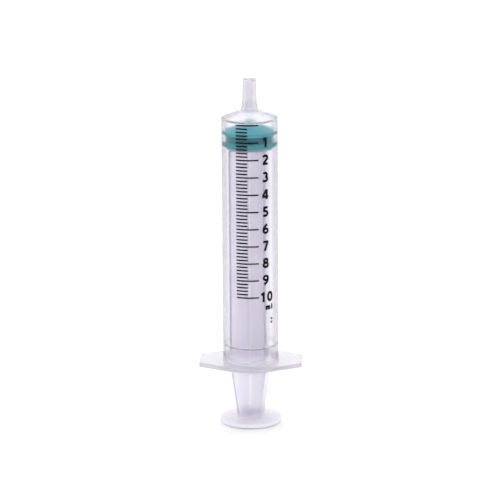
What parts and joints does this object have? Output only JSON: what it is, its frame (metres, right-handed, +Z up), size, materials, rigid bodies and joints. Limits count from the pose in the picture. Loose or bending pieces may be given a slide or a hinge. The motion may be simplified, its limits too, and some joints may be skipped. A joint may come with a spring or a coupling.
{
  "type": "luer slip syringe",
  "caption": "Clear disposable syringe with a centred slip nozzle, wide finger flange, printed volume scale, cross-ribbed plunger rod with thumb disc, and a teal rubber stopper.",
  "frame": {"origin": "centre of the thumb disc's underside, on which the syringe stands with its nozzle up", "axes": "+Z up the barrel's axis towards the nozzle, +X along the finger flange's long way, -Y the side with the printed scale"},
  "size_m": [0.0318, 0.0236, 0.108],
  "materials": {
    "barrel_plastic": "clear injection-moulded polypropylene, polished",
    "scale_ink": "screen-printed black ink",
    "rod_plastic": "translucent injection-moulded polypropylene",
    "stopper_rubber": "satin moulded rubber, teal"
  },
  "bodies": {
    "barrel": {"barrel": "barrel_plastic", "printed_scale": "scale_ink"},
    "stopper": {"stopper": "stopper_rubber"},
    "plunger_rod": {"plunger_rod": "rod_plastic"}
  },
  "joints": [
    {"name": "plunger_slide", "type": "slide", "parent": "barrel", "child": "stopper", "axis": [0, 0, -1], "range_m": [-0.003, 0.0618]},
    {"name": "rod_turn", "type": "hinge", "parent": "stopper", "child": "plunger_rod", "pos_m": [0, 0, 0.0895], "axis": [0, 0, 1], "continuous": true}
  ]
}
